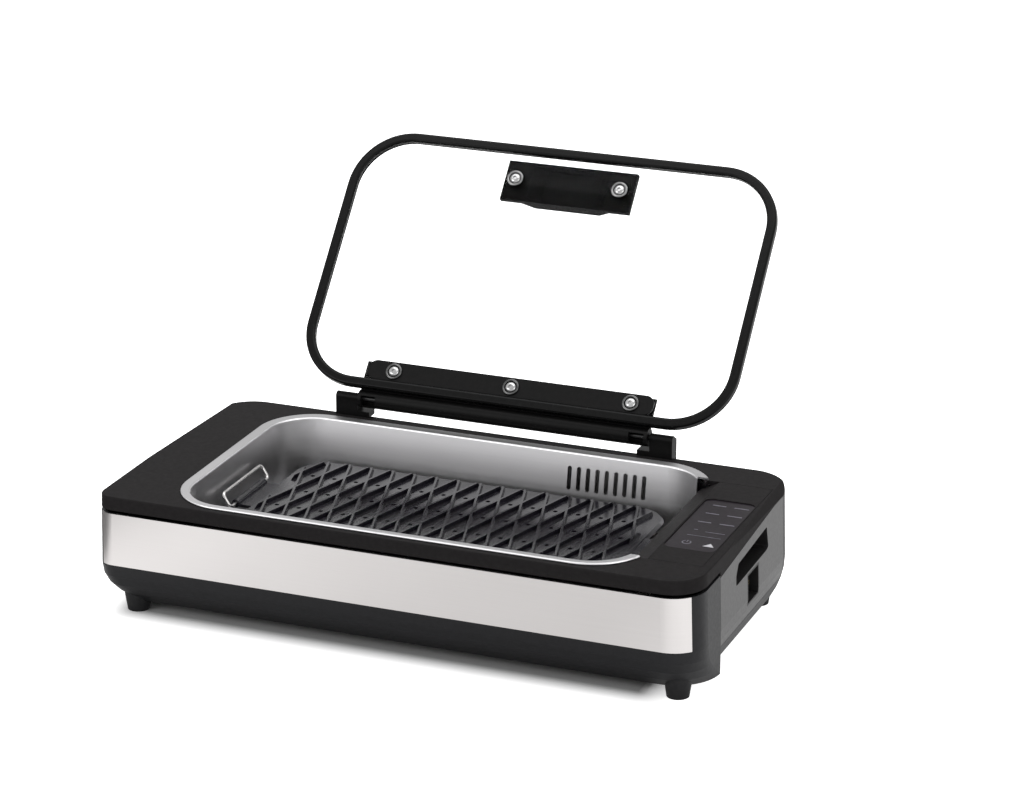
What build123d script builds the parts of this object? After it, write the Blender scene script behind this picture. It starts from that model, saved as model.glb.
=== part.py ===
from build123d import *
import math
import os

os.makedirs("parts", exist_ok=True)

# All sizes are in millimetres. X runs along the long side, -Y is the front, Z is up.
# The origin is on the table, under the middle of the four feet.

# Body seen from above
body_width = 535.0
body_depth = 264.0
half_width = body_width / 2
half_depth = body_depth / 2
front_left_radius = 15.0
front_right_radius = 30.0
rear_radius = 36.0
smallest_radius = 5.0
large = 400.0

# Body seen from the front: a rounded bowl below the waist, slightly drawn ends above it
tub_bottom = 9.0
waist_height = 47.0
taper_side = 12.0
taper_front = 24.0
taper_rear = 6.0
bottom_front_radius = 40.0
bottom_rear_radius = 28.0
bowl_steps = 4
body_draft = 2.0
end_face = half_width + body_draft
tub_wall = 2.8
tub_front_top = 95.4
cover_front_low = 98.6
seam_start = -half_depth + 62.0
seam_start_height = 93.3
seam_end = half_depth - 58.0
seam_end_height = 104.0
seam_gap = 0.4

# Steel band round the front
band_bottom = 48.4
band_thickness = 1.0
band_gap = 0.05
band_edge_gap = 0.2
band_left_end = -half_width + 3.8
band_right_turn = -half_depth + 10.7

# Top cover
cover_top = 110.5
cover_wall = 3.0
cover_edge_radius = 1.2
cover_bevel_top = 8.0
cover_bevel_drop = 7.0
cover_bevel_start = -half_depth + 82.0

# Feet, and the screw wells that join the tub to the cover
foot_x = half_width - 22.5
foot_y = half_depth - 28.0
foot_radius_low = 9.5
foot_radius_high = 12.5
foot_height = 21.0
foot_recess_radius = 4.6
foot_recess_depth = 5.0
well_radius = 6.0
well_bore = 4.0
well_top = 81.0
well_floor = 3.0
screw_radius = 1.9
screw_head_radius = 3.5
screw_head_height = 2.6
screw_grip = 16.0

# Cooking basin
basin_half_width = half_width - 58.0
basin_front = -half_depth + 6.0
basin_back = half_depth - 15.0
basin_width = 2 * basin_half_width
basin_depth = basin_back - basin_front
basin_y = (basin_back + basin_front) / 2
basin_corner = 50.0
flange_height = 1.6
seat_width = 4.0
seal_height = 0.4
basin_sheet = 1.2
wall_inset_x = 8.5
wall_inset_front = 5.5
wall_inset_back = 9.0
floor_inset_x = 11.5
floor_inset_y = 20.0
basin_floor = 53.0
vent_count = 9
vent_pitch = 8.6
vent_centre = basin_half_width - 104.0
vent_width = 3.9
vent_bottom = 80.0
vent_top = 101.0

# Control console
console_left = basin_half_width - 14.5
console_low = 101.0
console_ridge = basin_half_width + 3.5
console_right = half_width - 7.9
console_half_length = half_depth - 40.4
console_wall = 2.5
console_fit = 0.4
console_base = 102.0
console_floor = 2.5
console_cut_top = 97.5
panel_centre_x = half_width - 31.0
panel_centre_y = -4.0
panel_width = 44.0
panel_length = 114.0
panel_corner = 7.0
panel_recess = 1.6
panel_thickness = 0.8
panel_gap = 0.2

# Grill plate
plate_half_length = basin_half_width - 37.5
plate_depth = body_depth - 76.0
plate_corner = 30.0
plate_top = 79.0
plate_thickness = 4.0
rib_height = 3.4
rib_width = 3.6
rib_pitch = 20.8
rib_row = 37.0
rib_phase = 15.8
rib_first_row = 51.0
rib_border_x = 8.0
rib_border_y = 7.0
rib_draft = 14.0
drain_width = 4.4
lug_width = 56.0
lug_radius = 3.6
lug_reach = 13.5
plate_lip_drop = 2.4

# Bail handles of the plate
bail_wire = 1.5
bail_width = 76.0
bail_length = 13.3
bail_lean = 58.0
bail_bend = 4.0
bail_insert = 8.0
pin_clearance = 0.05
pivot_height = 78.3

# Open lid
lid_edge_y = half_depth
lid_edge_z = 140.5
lid_lean = 41.3
lid_width = basin_width - 18.4
lid_length = body_depth - 21.2
lid_corner = 52.0
rim_width = 9.0
rim_inner_face = 5.5
rim_outer_face = -3.5
rim_rounding = 2.4
glass_inset = 1.5
glass_inner_face = 1.0
glass_thickness = 4.0
glass_fit = 0.2

# Hinge
hinge_y = half_depth - 1.0
hinge_z = 126.7
hinge_middle = -2.5
barrel_radius = 8.0
hinge_pin_radius = 2.5
hinge_half_length = 137.0
hinge_window_from = 120.0
hinge_window_to = 134.0
hinge_window_rise = 5.0
hinge_plate_half = 135.0
hinge_plate_low = 5.0
hinge_plate_high = 23.0
hinge_plate_thickness = 1.6
hinge_seal = 0.4
hinge_flange_thickness = 2.4
hinge_screw_row = 13.8
hinge_screw_pitch = 112.0
hinge_screw_centre = 2.0
post_inner = 138.4
post_outer = 159.4
post_foot_inner = 127.0
post_foot_height = 5.0
post_front = hinge_y - 4.2
post_back = half_depth + 7.0
post_radius = 4.2
post_leg_low = 89.0

# Lid handle
handle_middle = 3.5
handle_centre = 214.0
handle_length = 124.0
handle_depth = 39.0
handle_height = 13.0
handle_wing = 5.0
handle_screw_pitch = 100.0
handle_wall = 3.0
handle_slope_out = 37.0
handle_slope_in = 26.0

# End covers with grip recesses and the inlet
end_cover_back = half_depth - 36.0
end_cover_bottom = 30.0
end_cover_skin = 2.2
end_cover_frame = 4.4
end_cover_lap = 5.0
end_cover_edge = 4.0
end_cover_gap = 0.3
grip_depth = 18.0
grip_wall = 1.8
grip_corner = 1.6
grip_front = seam_start + 40.0
grip_back = seam_end - 19.0
grip_bottom = 70.6
grip_front_top = 88.2
grip_back_top = 92.9
inlet_front = 0.5
inlet_width = 27.0
inlet_bottom = 43.0
inlet_height = 25.0
inlet_depth = 20.0
inlet_wall = 1.6
inlet_gap = 0.1

# Blower that draws the smoke from the basin
blower_x = half_width - 41.5
blower_z = 73.0
scroll_radius = 24.0
scroll_wall = 1.5
scroll_front = half_depth - 60.0
scroll_back = half_depth - 37.0
impeller_radius = 19.5
impeller_inner = 15.0
intake_radius = 11.0
blade_count = 14
blade_thickness = 0.8
shaft_radius = 1.5
motor_radius = 14.0
motor_length = 28.0
exhaust_left = blower_x - 24.0
exhaust_width = 18.0
exhaust_slot_pitch = 5.0
exhaust_slot_width = 2.6
duct_left = vent_centre - 41.5
duct_turn = vent_centre + 44.5
duct_right = blower_x + 12.0
duct_bottom = 57.0
duct_top = 104.5
duct_back = half_depth - 6.0
duct_face = half_depth - 24.5
duct_wall = 1.5

# Board of the power supply and its pillars
board_width = 34.0
board_length = 100.0
board_x = half_width - 46.5
board_y = -half_depth + 78.0
board_z = 21.0
board_thickness = 1.6
pillar_radius = 3.0
pillar_edge = 4.0

# Screws that fix the posts to the back of the tub
post_screw_z = 94.5
post_screw_step = 5.5
post_screw_length = 5.5
post_boss_radius = 4.0
post_boss_length = 3.0


def rounded(width, depth, radii, x=0.0, y=0.0):
    """Rectangle with its own radius on each corner, front left first, then round to the right."""
    signs = ((-1, -1), (1, -1), (1, 1), (-1, 1))
    with BuildSketch() as shape:
        with Locations((x, y)):
            Rectangle(width, depth)
        for sign, radius in zip(signs, radii):
            corner = Vector(x + sign[0] * width / 2, y + sign[1] * depth / 2, 0)
            fillet(shape.vertices().sort_by_distance(corner)[0], radius)
    return shape.sketch


def even(width, depth, radius, x=0.0, y=0.0):
    """Rectangle with the same radius on its four corners."""
    return rounded(width, depth, (radius, radius, radius, radius), x, y)


def top_outline(inset):
    """Outline of the body at the top of the cover, moved inwards."""
    sizes = (front_left_radius, front_right_radius, rear_radius, rear_radius)
    radii = [max(size - inset, smallest_radius) for size in sizes]
    return rounded(body_width - 2 * inset, body_depth - 2 * inset, radii)


def bowl_outline(share, inset, side_taper):
    """Outline below the waist where the taper has reached a share of its full size, moved inwards."""
    side = end_face - side_taper * share - inset
    front = half_depth - taper_front * share - inset
    rear = half_depth - taper_rear * share - inset
    left_radius = front_left_radius + share * (bottom_front_radius - front_left_radius)
    right_radius = front_right_radius + share * (bottom_front_radius - front_right_radius)
    back_radius = rear_radius + share * (bottom_rear_radius - rear_radius)
    sizes = (left_radius, right_radius, back_radius, back_radius)
    radii = [max(size - inset, smallest_radius) for size in sizes]
    return rounded(2 * side, front + rear, radii, 0.0, (rear - front) / 2)


def slab(outline, bottom, top):
    """Outline pushed up from one height to another."""
    with BuildPart() as solid:
        with BuildSketch(Plane.XY.offset(bottom)):
            add(outline)
        extrude(amount=top - bottom)
    return solid.part


def block(x0, x1, y0, y1, z0, z1):
    """Box between six planes."""
    with BuildPart() as solid:
        with Locations(((x0 + x1) / 2, (y0 + y1) / 2, (z0 + z1) / 2)):
            Box(x1 - x0, y1 - y0, z1 - z0)
    return solid.part


def rod(radius, start, end):
    """Cylinder between two points."""
    along = Vector(*end) - Vector(*start)
    with BuildPart() as solid:
        with BuildSketch(Plane(origin=start, z_dir=along)):
            Circle(radius)
        extrude(amount=along.length)
    return solid.part


def bowl(inset, side_taper):
    """Rounded lower body, from the waist down to the floor."""
    drop = waist_height - tub_bottom - inset
    with BuildPart() as solid:
        for step in range(bowl_steps, -1, -1):
            depth = step / bowl_steps
            with BuildSketch(Plane.XY.offset(waist_height - depth * drop)):
                add(bowl_outline(depth * depth, inset, side_taper))
        loft(ruled=True)
    return solid.part


def body_solid(inset):
    """Whole body: the bowl, its fuller bar along the front and the drawn walls above the waist."""
    with BuildPart() as front_bar:
        add(bowl(inset, 0.0))
        add(
            block(-large, large, -large, seam_start - inset, 0.0, waist_height),
            mode=Mode.INTERSECT,
        )
    with BuildPart() as solid:
        add(bowl(inset, taper_side))
        add(front_bar.part)
        with BuildSketch(Plane.XY.offset(waist_height)):
            add(bowl_outline(0.0, inset, 0.0))
        with BuildSketch(Plane.XY.offset(cover_top)):
            add(top_outline(inset))
        loft(ruled=True)
    return solid.part


def side_seam(front_height, lift):
    """Everything above the line where the lower body meets the cover."""
    slope = (seam_end_height - seam_start_height) / (seam_end - seam_start)
    with BuildPart() as space:
        with BuildSketch(Plane.YZ):
            with BuildLine():
                Polyline(
                    (-large, front_height),
                    (seam_start, front_height),
                    (seam_start, seam_start_height + lift),
                    (seam_end, seam_end_height + lift),
                    (large, seam_end_height + lift),
                    (large, large),
                    (-large, large),
                    close=True,
                )
            make_face()
        extrude(amount=large, both=True)
    return space.part


def four(x, y):
    """The four places that mirror one point across both middle planes."""
    return [(-x, -y), (x, -y), (x, y), (-x, y)]


# Shells of the body at the depths that the pieces share
body_outer = body_solid(0.0)
body_inner = body_solid(tub_wall)
cover_skin = body_solid(end_cover_skin)
cover_frame = body_solid(end_cover_frame)
below_seam = body_outer - side_seam(tub_front_top, 0.0)
skirt_space = side_seam(cover_front_low, seam_gap)

# Steel band round the front
with BuildPart() as front_band:
    add(body_outer)
    add(body_solid(band_thickness), mode=Mode.SUBTRACT)
    add(
        block(band_left_end, large, -large, band_right_turn, band_bottom, tub_front_top),
        mode=Mode.INTERSECT,
    )

with BuildPart() as band_recess:
    add(body_outer)
    add(body_solid(band_thickness + band_gap), mode=Mode.SUBTRACT)
    add(
        block(
            band_left_end - band_edge_gap,
            large,
            -large,
            band_right_turn + band_edge_gap,
            band_bottom - band_edge_gap,
            large,
        ),
        mode=Mode.INTERSECT,
    )

# Feet with an open recess for the screws
foot_parts = []
for place in four(foot_x, foot_y):
    with BuildPart() as one_foot:
        with BuildSketch():
            with Locations(place):
                Circle(foot_radius_low)
        with BuildSketch(Plane.XY.offset(foot_height)):
            with Locations(place):
                Circle(foot_radius_high)
        loft()
        add(body_outer, mode=Mode.SUBTRACT)
        with BuildSketch():
            with Locations(place):
                Circle(foot_recess_radius)
        extrude(amount=foot_recess_depth, mode=Mode.SUBTRACT)
        with BuildSketch(Plane.XY.offset(foot_recess_depth)):
            with Locations(place):
                Circle(well_radius)
        extrude(amount=foot_height, mode=Mode.SUBTRACT)
    foot_parts.append(one_foot.part)

# Tub with four screw wells, the band recess and the open places of the end covers
inlet_middle_y = inlet_front + inlet_width / 2
inlet_middle_z = inlet_bottom + inlet_height / 2
inlet_opening_width = inlet_width + 2 * inlet_wall + 2 * inlet_gap
inlet_opening_height = inlet_height + 2 * inlet_wall + 2 * inlet_gap

with BuildPart() as base_tub:
    add(below_seam)
    add(body_inner, mode=Mode.SUBTRACT)
    add(band_recess.part, mode=Mode.SUBTRACT)
    for sign in (-1, 1):
        inner_edge = sign * (half_width - taper_side - end_cover_edge)
        outer_edge = sign * large
        add(
            block(
                min(inner_edge, outer_edge),
                max(inner_edge, outer_edge),
                seam_start - end_cover_gap,
                end_cover_back + end_cover_gap,
                end_cover_bottom - end_cover_gap,
                large,
            ),
            mode=Mode.SUBTRACT,
        )
    with BuildSketch(Plane.XY.offset(foot_recess_depth)):
        with Locations(*four(foot_x, foot_y)):
            Circle(well_radius)
    extrude(amount=well_top - foot_recess_depth)
    with BuildSketch(Plane.XY.offset(foot_recess_depth)):
        with Locations(*four(foot_x, foot_y)):
            Circle(well_bore)
    extrude(amount=well_top - well_floor - foot_recess_depth, mode=Mode.SUBTRACT)
    with BuildSketch(Plane.XY.offset(foot_recess_depth)):
        with Locations(*four(foot_x, foot_y)):
            Circle(screw_radius)
    extrude(amount=well_top, mode=Mode.SUBTRACT)
    with BuildSketch(Plane.XY.offset(tub_bottom)):
        with Locations((board_x, board_y)):
            with GridLocations(board_width - 2 * pillar_edge, board_length - 2 * pillar_edge, 2, 2):
                Circle(pillar_radius)
    extrude(amount=board_z - tub_bottom)
    for sign in (-1, 1):
        for step in (-post_screw_step, post_screw_step):
            x = hinge_middle + sign * (post_inner + post_outer) / 2 + step
            wall_back = (x, half_depth - tub_wall / 2, post_screw_z)
            boss_end = (x, half_depth - tub_wall - post_boss_length, post_screw_z)
            add(rod(post_boss_radius, wall_back, boss_end))
            add(rod(screw_radius, (x, half_depth, post_screw_z), boss_end), mode=Mode.SUBTRACT)
    with BuildSketch(Plane.XY.offset(tub_bottom)):
        exhaust_middle = (exhaust_left + exhaust_width / 2, (scroll_front + scroll_back) / 2)
        with Locations(exhaust_middle):
            with GridLocations(1.0, exhaust_slot_pitch, 1, 4):
                Rectangle(exhaust_width - 4.0, exhaust_slot_width)
    extrude(amount=tub_wall, mode=Mode.SUBTRACT)

with BuildPart() as case_screws:
    for x, y in four(foot_x, foot_y):
        head_low = well_top - well_floor - screw_head_height
        add(rod(screw_head_radius, (x, y, head_low), (x, y, well_top - well_floor)))
        add(rod(screw_radius, (x, y, head_low), (x, y, well_top + screw_grip)))


def end_cover(sign, with_inlet):
    """Cover of one end with its grip recess."""
    lap = end_cover_lap
    near = sign * (half_width - taper_side - end_cover_edge)
    far = sign * large
    x0 = min(near, far)
    x1 = max(near, far)
    with BuildPart() as cover:
        add(below_seam)
        add(cover_frame, mode=Mode.SUBTRACT)
        add(block(x0, x1, seam_start, end_cover_back, end_cover_bottom, large), mode=Mode.INTERSECT)
        with BuildPart(mode=Mode.PRIVATE) as pocket:
            add(cover_skin)
            add(
                block(
                    x0,
                    x1,
                    seam_start + end_cover_edge,
                    end_cover_back - end_cover_edge,
                    end_cover_bottom + end_cover_edge,
                    large,
                ),
                mode=Mode.INTERSECT,
            )
        add(pocket.part, mode=Mode.SUBTRACT)
        with BuildPart(mode=Mode.PRIVATE) as laps:
            add(body_inner)
            add(cover_frame, mode=Mode.SUBTRACT)
            add(side_seam(tub_front_top, 0.0), mode=Mode.SUBTRACT)
            add(
                block(x0, x1, seam_start, end_cover_back + lap, end_cover_bottom - lap, large),
                mode=Mode.INTERSECT,
            )
            add(
                block(
                    x0,
                    x1,
                    seam_start + end_cover_edge,
                    end_cover_back - end_cover_edge,
                    end_cover_bottom + end_cover_edge,
                    large,
                ),
                mode=Mode.SUBTRACT,
            )
        add(laps.part)
        with BuildSketch(Plane.YZ.offset(sign * end_face)):
            add(grip_outline())
            offset(amount=grip_wall)
        extrude(amount=-sign * (grip_depth + grip_wall))
        add(body_outer, mode=Mode.INTERSECT)
        with BuildSketch(Plane.YZ.offset(sign * end_face)):
            add(grip_outline())
        extrude(amount=-sign * grip_depth, mode=Mode.SUBTRACT)
        if with_inlet:
            with BuildSketch(Plane.YZ.offset(sign * end_face)):
                with Locations((inlet_middle_y, inlet_middle_z)):
                    Rectangle(inlet_opening_width, inlet_opening_height)
            extrude(amount=-sign * inlet_depth, mode=Mode.SUBTRACT)
    return cover.part


def grip_outline():
    """Outline of the grip recess seen from the end."""
    with BuildSketch() as grip:
        with BuildLine():
            Polyline(
                (grip_front, grip_bottom),
                (grip_front, (grip_bottom + grip_front_top) / 2),
                (grip_front + 6.0, grip_front_top),
                (grip_back - 4.0, grip_back_top),
                (grip_back, grip_bottom + 3.5),
                (grip_back - 5.0, grip_bottom + 1.8),
                close=True,
            )
        make_face()
        fillet(grip.vertices(), grip_corner)
    return grip.sketch


end_cover_right = end_cover(1, True)
end_cover_left = end_cover(-1, False)

# Top cover with the opening of the basin and a seat for the console
basin_outline = even(basin_width, basin_depth, basin_corner, 0.0, basin_y)
opening_outline = even(
    basin_width - 2 * seat_width,
    basin_depth - 2 * seat_width,
    basin_corner - seat_width,
    0.0,
    basin_y,
)
console_seat_right = console_right + console_fit
console_seat_half = console_half_length + console_fit
seat_left = basin_half_width - seat_width
boss_reach = cover_top - cover_wall

with BuildPart() as top_cover:
    add(body_outer)
    add(skirt_space, mode=Mode.INTERSECT)
    top_edges = top_cover.edges().filter_by_position(Axis.Z, cover_top, cover_top)
    fillet(top_edges, cover_edge_radius)
    for sign in (-1, 1):
        with BuildSketch(Plane.XZ.offset(-cover_bevel_start)):
            with BuildLine():
                Polyline(
                    (sign * (half_width - 0.05), cover_top),
                    (sign * end_face, cover_top - cover_bevel_drop),
                    (sign * (half_width + 5.0), cover_top),
                    close=True,
                )
            make_face()
        with BuildSketch(Plane.XZ.offset(-half_depth)):
            with BuildLine():
                Polyline(
                    (sign * (half_width - cover_bevel_top), cover_top),
                    (sign * end_face, cover_top - cover_bevel_drop),
                    (sign * (half_width + 5.0), cover_top),
                    close=True,
                )
            make_face()
        loft(ruled=True, mode=Mode.SUBTRACT)
    with BuildPart(mode=Mode.PRIVATE) as hollow:
        with BuildSketch():
            add(top_outline(cover_wall))
        extrude(amount=cover_top - cover_wall)
        for sign in (-1, 1):
            with BuildSketch(Plane.XZ.offset(-cover_bevel_start)):
                with BuildLine():
                    Polyline(
                        (sign * (half_width - cover_wall), cover_top - cover_wall),
                        (sign * (half_width - cover_wall), cover_top - cover_bevel_drop - cover_wall),
                        (sign * (half_width + 5.0), cover_top - cover_wall),
                        close=True,
                    )
                make_face()
            with BuildSketch(Plane.XZ.offset(-half_depth)):
                with BuildLine():
                    Polyline(
                        (sign * (half_width - cover_bevel_top - cover_wall), cover_top - cover_wall),
                        (sign * (half_width - cover_wall), cover_top - cover_bevel_drop - cover_wall),
                        (sign * (half_width + 5.0), cover_top - cover_wall),
                        close=True,
                    )
                make_face()
            loft(ruled=True, mode=Mode.SUBTRACT)
    add(hollow.part, mode=Mode.SUBTRACT)
    add(
        block(
            seat_left - cover_wall,
            console_seat_right + cover_wall,
            -console_seat_half - cover_wall,
            console_seat_half + cover_wall,
            console_base - console_floor,
            cover_top - cover_wall,
        )
    )
    with BuildSketch(Plane.XY.offset(well_top)):
        with Locations(*four(foot_x, foot_y)):
            Circle(well_radius)
    extrude(amount=boss_reach - well_top)
    with BuildSketch(Plane.XY.offset(well_top)):
        with Locations(*four(foot_x, foot_y)):
            Circle(screw_radius)
    extrude(amount=screw_grip + 2.0, mode=Mode.SUBTRACT)
    with BuildSketch():
        add(opening_outline)
    extrude(amount=large, mode=Mode.SUBTRACT)
    add(
        block(
            seat_left - cover_wall,
            console_seat_right,
            -console_seat_half,
            console_seat_half,
            console_base,
            large,
        ),
        mode=Mode.SUBTRACT,
    )
    add(
        block(
            seat_left - cover_wall - 1.0,
            seat_left + console_fit,
            -console_seat_half,
            console_seat_half,
            0.0,
            large,
        ),
        mode=Mode.SUBTRACT,
    )
    add(
        block(
            seat_left + 6.0,
            console_seat_right - 8.0,
            -console_seat_half + 12.0,
            console_seat_half - 12.0,
            0.0,
            large,
        ),
        mode=Mode.SUBTRACT,
    )

# Cooking basin: a drawn sheet with a rolled flange and a row of smoke vents
def wall_outline(inset_x, inset_front, inset_back):
    """Outline of the basin wall, measured inwards from the edge of the flange."""
    return even(
        basin_width - 2 * inset_x,
        basin_depth - inset_front - inset_back,
        basin_corner - inset_back,
        0.0,
        basin_y + (inset_front - inset_back) / 2,
    )


inner_x = wall_inset_x + basin_sheet
wall_top_outline = wall_outline(wall_inset_x, wall_inset_front, wall_inset_back)
wall_floor_outline = wall_outline(floor_inset_x, floor_inset_y, floor_inset_y)
inner_top_outline = wall_outline(inner_x, wall_inset_front + basin_sheet, wall_inset_back + basin_sheet)
inner_floor_outline = wall_outline(
    floor_inset_x + basin_sheet, floor_inset_y + basin_sheet, floor_inset_y + basin_sheet
)
flange_bottom = cover_top + seal_height
flange_top = flange_bottom + flange_height
terminal_y = plate_depth / 2 - 32.0
lead_clearance = 0.5
element_radius = 3.2
element_z = 67.0

with BuildPart() as basin_space:
    with BuildSketch(Plane.XY.offset(basin_floor)):
        add(wall_floor_outline)
    with BuildSketch(Plane.XY.offset(flange_top)):
        add(wall_top_outline)
    loft(ruled=True)

console_cut = block(
    console_left - 2.0,
    large,
    -console_half_length - 2 * console_fit,
    console_half_length + 2 * console_fit,
    console_cut_top,
    large,
)

with BuildPart() as basin:
    add(basin_space.part)
    with BuildSketch(Plane.XY.offset(flange_bottom)):
        add(basin_outline)
    extrude(amount=flange_height)
    fillet(basin.faces().sort_by(Axis.Z)[-1].edges(), flange_height * 0.8)
    with BuildSketch(Plane.XY.offset(basin_floor + basin_sheet)):
        add(inner_floor_outline)
    with BuildSketch(Plane.XY.offset(flange_top)):
        add(inner_top_outline)
    loft(ruled=True, mode=Mode.SUBTRACT)
    rim_edges = basin.faces().filter_by(Axis.Z).sort_by(Axis.Z)[-1].inner_wires()[0].edges()
    fillet(rim_edges, flange_height * 0.9)
    add(console_cut, mode=Mode.SUBTRACT)
    with BuildSketch(Plane.XZ.offset(-basin_back)):
        with GridLocations(vent_pitch, 1.0, vent_count, 1):
            with Locations((vent_centre, (vent_bottom + vent_top) / 2)):
                SlotOverall(vent_top - vent_bottom, vent_width, rotation=90)
    extrude(amount=floor_inset_y + basin_sheet, mode=Mode.SUBTRACT)
    for side_y in (-terminal_y, terminal_y):
        lead_start = (0.0, basin_y + side_y, element_z)
        lead_end = (basin_half_width, basin_y + side_y, element_z)
        add(rod(element_radius + lead_clearance, lead_start, lead_end), mode=Mode.SUBTRACT)

with BuildPart() as basin_seal:
    with BuildSketch(Plane.XY.offset(cover_top)):
        add(basin_outline)
        offset(amount=-0.5)
        add(opening_outline, mode=Mode.SUBTRACT)
    extrude(amount=seal_height)
    add(console_cut, mode=Mode.SUBTRACT)

# Sheet metal tray that catches the fat
tray_width = 2 * plate_half_length - 14.0
tray_depth = plate_depth - 38.0
tray_corner = 18.0
tray_height = 6.4
tray_sheet = 1.0
tray_bottom = basin_floor + basin_sheet
tray_outline = even(tray_width, tray_depth, tray_corner, 0.0, basin_y)
tray_inner_outline = even(
    tray_width - 2 * tray_sheet,
    tray_depth - 2 * tray_sheet,
    tray_corner - tray_sheet,
    0.0,
    basin_y,
)
with BuildPart() as drip_tray:
    add(slab(tray_outline, tray_bottom, tray_bottom + tray_height))
    add(slab(tray_inner_outline, tray_bottom + tray_sheet, large), mode=Mode.SUBTRACT)

# Tubular heating element bent in four runs, with its bearers
element_half = plate_half_length - 22.0
element_inner = 21.0
element_end = basin_half_width + 1.5
bearer_x = plate_half_length - 44.0
bearer_y = plate_depth / 2 - 10.0
bearer_width = 6.0
bearer_thickness = 1.6
post_size = 4.0
plate_under = plate_top - plate_thickness
with BuildPart() as heating_element:
    with BuildLine(Plane.XY.offset(element_z)) as element_path:
        FilletPolyline(
            (element_end, basin_y - terminal_y),
            (-element_half, basin_y - terminal_y),
            (-element_half, basin_y - element_inner),
            (element_half, basin_y - element_inner),
            (element_half, basin_y + element_inner),
            (-element_half, basin_y + element_inner),
            (-element_half, basin_y + terminal_y),
            (element_end, basin_y + terminal_y),
            radius=20.0,
        )
    with BuildSketch(Plane(origin=(element_end, basin_y - terminal_y, element_z), z_dir=(-1, 0, 0))):
        Circle(element_radius)
    sweep(path=element_path.line)

with BuildPart() as element_bearers:
    for sign in (-1, 1):
        bearer_top = element_z - element_radius
        add(
            block(
                sign * bearer_x - bearer_width / 2,
                sign * bearer_x + bearer_width / 2,
                basin_y - bearer_y,
                basin_y + bearer_y,
                bearer_top - bearer_thickness,
                bearer_top,
            )
        )
        for side in (-1, 1):
            bottom = (sign * bearer_x, basin_y + side * bearer_y, basin_floor + basin_sheet)
            top = (sign * bearer_x, basin_y + side * bearer_y, plate_under)
            add(rod(post_size, bottom, top))

# Grill plate with crossing ribs, a drain slot in each cell and a lug at each end
plate_outline = even(2 * plate_half_length, plate_depth, plate_corner, 0.0, basin_y)
rib_space = even(
    2 * plate_half_length - 2 * rib_border_x,
    plate_depth - 2 * rib_border_y,
    plate_corner - rib_border_y,
    0.0,
    basin_y,
)
rib_angle = math.degrees(math.atan(rib_pitch / (2 * rib_row)))
rib_count = 23
rib_crossing_y = rib_first_row + rib_row / 2
lug_pivot_x = plate_half_length + lug_reach


def rib_lines(turn):
    """One family of parallel ribs seen from above."""
    with BuildSketch() as ribs:
        for index in range(rib_count):
            x = rib_phase + rib_pitch * (index - rib_count // 2) + rib_pitch / 2
            x += turn * (basin_y - rib_first_row) * math.tan(math.radians(rib_angle))
            with Locations((x, basin_y)):
                Rectangle(rib_width, 2 * plate_depth, rotation=-turn * rib_angle)
    return ribs.sketch


with BuildSketch() as rib_sketch:
    add(rib_lines(1))
    add(rib_lines(-1))
    add(rib_space, mode=Mode.INTERSECT)

drain_places = []
for row in range(4):
    row_y = rib_first_row - row * rib_row
    shift = (row % 2) * rib_pitch / 2
    for column in range(-10, 11):
        x = rib_phase + rib_pitch * column - shift
        if abs(x) < plate_half_length - rib_border_x - rib_width - drain_width:
            drain_places.append((x, row_y))

with BuildPart() as grill_plate:
    with BuildSketch(Plane.XY.offset(plate_under)):
        add(plate_outline)
    extrude(amount=plate_thickness)
    chamfer(grill_plate.faces().sort_by(Axis.Z)[-1].edges(), plate_lip_drop, plate_lip_drop)
    with BuildSketch(Plane.XY.offset(plate_top)):
        add(rib_sketch.sketch)
    extrude(amount=rib_height, taper=rib_draft)
    for sign in (-1, 1):
        reach = sign * lug_pivot_x
        inner = sign * (plate_half_length - 2.0)
        add(
            block(
                min(reach, inner),
                max(reach, inner),
                basin_y - lug_width / 2,
                basin_y + lug_width / 2,
                plate_under + 0.6,
                pivot_height,
            )
        )
        lug_start = (reach, basin_y - lug_width / 2, pivot_height)
        lug_end = (reach, basin_y + lug_width / 2, pivot_height)
        add(rod(lug_radius, lug_start, lug_end))
        for side in (-1, 1):
            bore_start = (reach, basin_y + side * lug_width / 2, pivot_height)
            bore_end = (reach, basin_y + side * (lug_width / 2 - bail_insert - 0.5), pivot_height)
            add(rod(bail_wire + pin_clearance, bore_start, bore_end), mode=Mode.SUBTRACT)
    with BuildSketch(Plane.XY.offset(plate_under)):
        with Locations(*drain_places):
            RegularPolygon(drain_width / 2, 6)
    extrude(amount=plate_thickness, mode=Mode.SUBTRACT)


def bail(sign):
    """Wire handle that hangs in the lug at one end of the plate."""
    lean = math.radians(bail_lean)
    up = Vector(sign * math.cos(lean), 0, math.sin(lean))
    origin = Vector(sign * lug_pivot_x, basin_y, pivot_height)
    plane = Plane(origin=origin, x_dir=(0, 1, 0), z_dir=Vector(0, 1, 0).cross(up))
    half = bail_width / 2
    inner = lug_width / 2 - bail_insert
    with BuildPart() as wire:
        with BuildLine(plane) as path:
            FilletPolyline(
                (-inner, 0),
                (-half, 0),
                (-half, bail_length),
                (half, bail_length),
                (half, 0),
                (inner, 0),
                radius=bail_bend,
            )
        with BuildSketch(Plane(origin=path.line @ 0, z_dir=path.line % 0)):
            Circle(bail_wire)
        sweep(path=path.line)
    return wire.part


bail_left = bail(-1)
bail_right = bail(1)

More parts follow.
